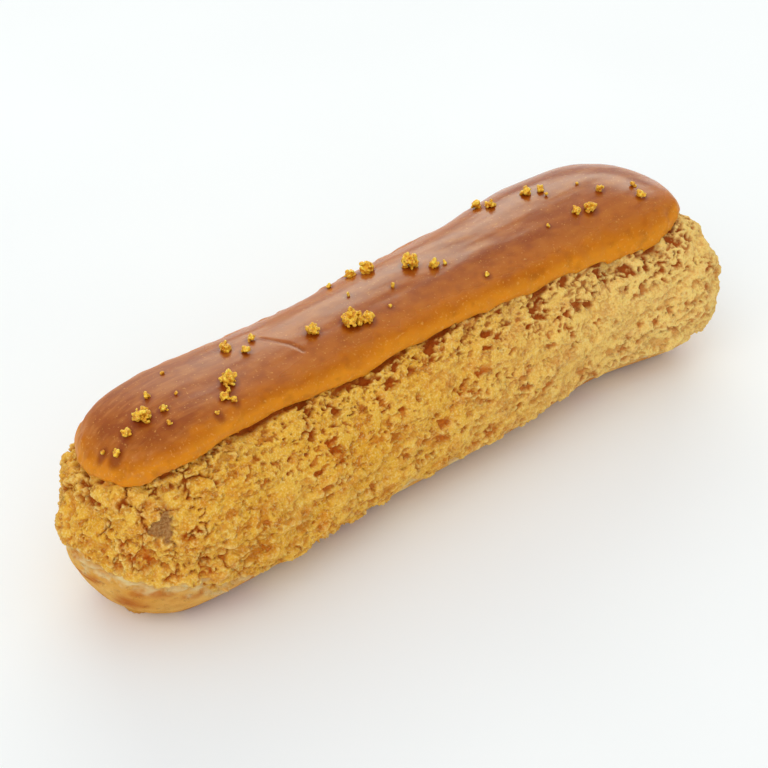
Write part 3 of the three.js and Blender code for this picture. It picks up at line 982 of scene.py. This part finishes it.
from_crease = np.full(len(gel), np.inf)
for start, end in zip(CREASE, CREASE[1:]):
    run = np.subtract(end, start)
    away = gel[:, :2] - start
    share = np.clip(away @ run / (run @ run), 0, 1)
    from_crease = np.minimum(from_crease, np.hypot(*(away - share[:, None] * run).T))
crease = (1 - smooth_step(from_crease, *CREASE_EDGE)) * top_side
raise_by(glaze, "crease", crease, -CREASE_DEPTH)
glaze.vertex_groups.clear()
glaze.data.shade_smooth()
print("Glaze triangles:", count_triangles(glaze))

# %% Masks for the glaze's colours
RIM_WANDER = 0.35
RIM_WANDER_SIZE = 2.0
RIM_BAND = (0.8, 3.2)
LIT_BAND = (0.2, 1.3)
DEEP_FROM = 1.8
DEEP_AT = 8.5
DEEP_NEARER = 4.5
DRAGGED_FROM = -20
DRAGGED_FADE = 40

rim_wander = RIM_WANDER * field(gel, RIM_WANDER_SIZE, stretch=1.6, draw=46)
# lit_edge is a painted highlight along the glaze's very edge.
lit_edge = 1 - smooth_step(from_rim + 0.3 * rim_wander, *LIT_BAND)
towards_end = smooth_step(DRAGGED_FROM - gel[:, 0], 0, DRAGGED_FADE)
store(glaze, "rim", 1 - smooth_step(from_rim + 0.8 * rim_wander, *RIM_BAND))
store(glaze, "lit_edge", lit_edge * smooth_step(thick, 0.0, 0.5))
store(glaze, "deep", smooth_step(from_rim + rim_wander, DEEP_FROM, DEEP_AT - DEEP_NEARER * towards_end))
store(glaze, "towards_end", towards_end)
store(glaze, "crease", crease)
print("The glaze has", len(glaze.data.attributes), "attributes")
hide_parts("caramel_glaze")
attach(glaze, "root")

# %% [markdown]
# ## The colours of the glaze
#
# Caramel is clear amber where it is thin, at its rim, and deep red-brown where it is thick. Its very edge is
# lighter amber still, a painted highlight where the thin edge catches the light. Light enters it and comes
# out again, which subsurface scattering gives. Its skin has set to a satin gloss, duller at the rim and
# towards the blunt end, where it was dragged in streaks. Tiny pale specks of sugar float in it, and painted
# shade darkens it round the foot of each crumb and along its crease.

# %% The caramel's colours
THICK_DEEP = srgb(150, 67, 7)
THICK_LIGHT = srgb(168, 83, 9)
THIN_BODY = srgb(186, 100, 10)
BLUNT_END_BROWN = srgb(154, 76, 22)
RIM_LIGHT = srgb(204, 118, 18)
RIM_DEEP = srgb(190, 104, 12)
LIT_EDGE_PAINTED_AMBER = srgb(244, 160, 34)
MOTTLE_LIGHT = srgb(200, 120, 36)
MOTTLE_DEEP = srgb(132, 56, 16)

caramel, tree, shader = new_material("caramel_glaze")
swirl = noise_field(tree, 0.12, stretch=2.5, detail=3)
mottle = noise_field(tree, 0.5, stretch=1.5, detail=4)

thick_tone = mix_colours(tree, remap(tree, swirl, 0.35, 0.65), THICK_DEEP, THICK_LIGHT)
body_tone = mix_colours(tree, mask(tree, "deep"), THIN_BODY, thick_tone)
body_tone = tinted(tree, body_tone, "towards_end", 0.5, BLUNT_END_BROWN)
rim_tone = mix_colours(tree, remap(tree, swirl, 0.4, 0.6), RIM_LIGHT, RIM_DEEP)
colour = mix_colours(tree, mask(tree, "rim"), body_tone, rim_tone)
# Painted highlight: the very edge is lighter amber, as if catching the light.
colour = tinted(tree, colour, "lit_edge", 0.5, LIT_EDGE_PAINTED_AMBER)
colour = mix_colours(tree, remap(tree, mottle, 0.45, 0.7, 0, 0.35), colour, MOTTLE_LIGHT)
colour = mix_colours(tree, remap(tree, mottle, 0.3, 0.48, 0.3, 0), colour, MOTTLE_DEEP)
print("Caramel colours:", len(tree.nodes), "nodes")

# %% Drag marks, specks, and painted shade round the crumbs and in the crease
DRAG_PALE = srgb(200, 124, 56)
SPECK_PALE = srgb(226, 166, 84)
CRUMB_FOOT_SHADE_BROWN = srgb(128, 44, 6)
CREASE_SHADE_BROWN = srgb(128, 52, 10)

drag_noise = noise_field(tree, 0.9, stretch=7.0, detail=3)
drag = calculate(tree, "MULTIPLY", remap(tree, drag_noise, 0.5, 0.66, 0, 0.45), mask(tree, "towards_end"))
colour = mix_colours(tree, drag, colour, DRAG_PALE)
more_at_rim = remap(tree, mask(tree, "rim"), 0, 1, 0, 0.04)
specks = calculate(tree, "ADD", noise_field(tree, 2.2), more_at_rim)
colour = mix_colours(tree, remap(tree, specks, 0.64, 0.74, 0, 0.5), colour, SPECK_PALE)
# Painted shade: the glaze is darkened round the foot of each crumb.
colour = tinted(tree, colour, "near_crumb", 0.7, CRUMB_FOOT_SHADE_BROWN)
# Painted shade: the glaze is darkened along the crease.
colour = tinted(tree, colour, "crease", 0.5, CREASE_SHADE_BROWN)
tree.links.new(colour, shader.inputs["Base Color"])
print("With its marks:", len(tree.nodes), "nodes")

# %% The caramel's satin skin
SHEEN_TINT = (0.95, 1.0, 0.74, 1)
AMBER_GLOW = (1.0, 0.4, 0.12)
SKIN_HEIGHT = 0.12 * MM

duller = calculate(tree, "MAXIMUM", mask(tree, "towards_end"), mask(tree, "rim"))
duller = calculate(tree, "MULTIPLY", duller, 0.2)
rough = calculate(tree, "ADD", remap(tree, swirl, 0.3, 0.7, 0.2, 0.3), duller)
tree.links.new(rough, shader.inputs["Roughness"])
quiet = calculate(tree, "MULTIPLY", mask(tree, "towards_end"), 0.5)
quiet = calculate(tree, "MAXIMUM", quiet, mask(tree, "rim"))
tree.links.new(remap(tree, quiet, 0, 1, 0.42, 0.1), shader.inputs["Specular IOR Level"])
shader.inputs["Specular Tint"].default_value = SHEEN_TINT
shader.inputs["Subsurface Weight"].default_value = 0.35
shader.inputs["Subsurface Radius"].default_value = AMBER_GLOW
shader.inputs["Subsurface Scale"].default_value = 1.6 * MM
skin_noise = noise_field(tree, 0.9, stretch=2.0, detail=3)
skin_bump = add_node(tree, "ShaderNodeBump", Height=skin_noise, Strength=0.25, Distance=SKIN_HEIGHT)
tree.links.new(skin_bump.outputs[0], shader.inputs["Normal"])
glaze.data.materials.append(caramel)
print("Glaze finish:", len(tree.nodes), "nodes")

# %% [markdown]
# ## The gilded crumbs
#
# The crumbs are bits of crisp biscuit rolled in gold dust, each a cluster of grains like popcorn. One grain
# is an icosphere, and a crumb is a mound of copies of it, each of its own size and turn. The mounds are
# melted into one body with a fine voxel remesh and roughened, and all of it sits a little sunk in the glaze.

# %% Heap up the grains
# Each row: along, across and width in mm, the places of the solid's crumbs first, then the specks.
CRUMBS = [
    (-62, -5, 1.4), (-59, -3.5, 1.6), (-55.5, -3, 3), (-52, -4, 1.4), (-52, 0.5, 1.2),
    (-42.5, -7.5, 1.6), (-39.5, -4.5, 2.8), (-34, 3.5, 2), (-32, 0.5, 1.6), (-29, 3, 1.4),
    (-20, -2, 2.4), (-13, -4, 3.6), (-10.5, -5, 2.4), (-3, 8.5, 2), (-0.5, 7, 2.6),
    (5.5, 2.5, 3.2), (8.5, -0.5, 1.8), (28.5, 10.5, 1.8), (29.5, 8, 2), (36.5, 6, 2),
    (39, 5, 1.6), (39.5, -4, 1.6), (42, -5, 2.2), (47.5, -2, 1.4), (53, -7, 1.8),
    (-46, 4.5, 0.8), (-48, -2, 0.8), (-53, -7, 1.0), (-63, -2.5, 0.9), (-41, -6.5, 1.0),
    (-41.5, -8.5, 1.1), (-45.5, -9.6, 0.8), (-8, 8, 1.0), (-8.5, 2.5, 0.9), (10.5, -1, 0.7),
    (-1, -0.5, 1.0), (-5, -4.5, 0.7), (14.5, -7.5, 0.9), (38.5, 3, 0.7), (45.5, 2, 0.7),
    (32.5, -4, 0.7), (54, -4, 1.1),
]
GRAIN = 0.32
GRAINS_PER_SQUARE = 8.0
FEWEST_GRAINS = 3
HEAP_HEIGHT = 0.75
GRAIN_SPREAD = (0.65, 1.25)
GRAIN_SQUASH = (0.75, 1.25)
GRAIN_TURN = (0, 6)
SPECK_SHARE = 0.6
WIDTH_SHARE = 0.2
INSIDE_SHARE = 0.6
LOWEST_LIFT = 0.05
DICE_SEED = 11

dice = random.Random(DICE_SEED)
glaze_top = BVHTree.FromObject(glaze, bpy.context.evaluated_depsgraph_get())
deselect_all()
bpy.ops.mesh.primitive_ico_sphere_add(subdivisions=2, radius=1)
grain_model = bpy.context.object
grain_model.name = "grain"
grains = []
for x, y, width in CRUMBS:
    glaze_height = drop(glaze_top, x, y)
    for _ in range(max(FEWEST_GRAINS, round(GRAINS_PER_SQUARE * width * width))):
        size = GRAIN * dice.uniform(*GRAIN_SPREAD) * min(1, SPECK_SHARE + WIDTH_SHARE * width)
        turn = dice.uniform(0, 2 * math.pi)
        out = (width / 2 - size * INSIDE_SHARE) * math.sqrt(dice.random())
        dome = math.sqrt(max(0, 1 - (out / (width / 2)) ** 2))
        lift = dice.uniform(LOWEST_LIFT, 1) * HEAP_HEIGHT * width * dome
        place = (x + out * math.cos(turn), y + out * math.sin(turn), glaze_height + lift)
        copy = bpy.data.objects.new("grain", grain_model.data.copy())
        bpy.context.scene.collection.objects.link(copy)
        copy.scale = [size * dice.uniform(*GRAIN_SQUASH) * MM for _ in range(3)]
        copy.rotation_euler = [dice.uniform(*GRAIN_TURN) for _ in range(3)]
        copy.location = Vector(place) * MM
        grains.append(copy)
bpy.data.objects.remove(grain_model)
print("Grains:", len(grains))

# %% Painted shade round the foot of each crumb
FOOT_REACH = 0.9

# near_crumb holds the painted shade round the foot of each crumb.
near_crumb = np.zeros(len(gel))
for x, y, width in CRUMBS:
    away = np.hypot(gel[:, 0] - x, gel[:, 1] - y)
    near_crumb = np.maximum(near_crumb, 1 - smooth_step(away, width / 2, width / 2 + FOOT_REACH))
store(glaze, "near_crumb", near_crumb)
print("Glaze points near a crumb:", int((near_crumb > 0).sum()))

# %% Melt and roughen them
CRUMB_VOXEL = 0.13 * MM
ROUGH_SIZE = 0.55
ROUGH_HEIGHT = 0.22
MELT_LOSS = 0.10

deselect_all()
for grain in grains:
    grain.select_set(True)
bpy.context.view_layer.objects.active = grains[0]
bpy.ops.object.join()
gold = bpy.context.object
gold.name = "gold_crumbs"
bpy.ops.object.transform_apply(location=True, rotation=True, scale=True)
apply_modifier(gold, "REMESH", mode="VOXEL", voxel_size=CRUMB_VOXEL)
melted = points_of(gold)
raised = smooth_step(field(melted, ROUGH_SIZE, layers=2, draw=60), *MOST_NOISE)
raise_by(gold, "rough", raised, ROUGH_HEIGHT)
raise_by(gold, "inward", np.ones(len(melted)), -MELT_LOSS)
gold.vertex_groups.clear()
store(gold, "raised", raised)
gold.data.shade_smooth()
print("Crumb triangles:", count_triangles(gold))
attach(gold, "root")

# %% [markdown]
# ## The gold
#
# The dust lies on the crumb as a thin and broken film, so it is only partly metallic: most where a grain
# stands out, and least in the hollows, where the crumb's own brown shows through, redder and darker, and
# painted shade darkens those hollows further.

# %% Gold finish
CRUMB_BROWN_AND_SHADE = srgb(196, 92, 0)
GOLD_BRIGHT = srgb(255, 234, 92)
GOLD_WORN = srgb(255, 190, 30)
DUST_HEIGHT = 0.1 * MM

gilding, tree, shader = new_material("gold_dust")
worn = remap(tree, noise_field(tree, 3.0, detail=3), 0.35, 0.65)
# Darker and browner in the hollows: the crumb's own brown and painted shade.
tone = mix_colours(tree, mask(tree, "raised"), CRUMB_BROWN_AND_SHADE, GOLD_BRIGHT)
tone = mix_colours(tree, worn, tone, GOLD_WORN)
tree.links.new(tone, shader.inputs["Base Color"])
tree.links.new(remap(tree, mask(tree, "raised"), 0.1, 0.6, 0.1, 0.35), shader.inputs["Metallic"])
tree.links.new(remap(tree, worn, 0, 1, 0.24, 0.42), shader.inputs["Roughness"])
dust = add_node(tree, "ShaderNodeBump", Height=noise_field(tree, 7.0), Strength=0.6, Distance=DUST_HEIGHT)
tree.links.new(dust.outputs[0], shader.inputs["Normal"])
gold.data.materials.append(gilding)
print("Gold finish:", len(tree.nodes), "nodes")

# %% [markdown]
# ## The end
#
# Nothing is left selected at the end.

# %% Finish
deselect_all()
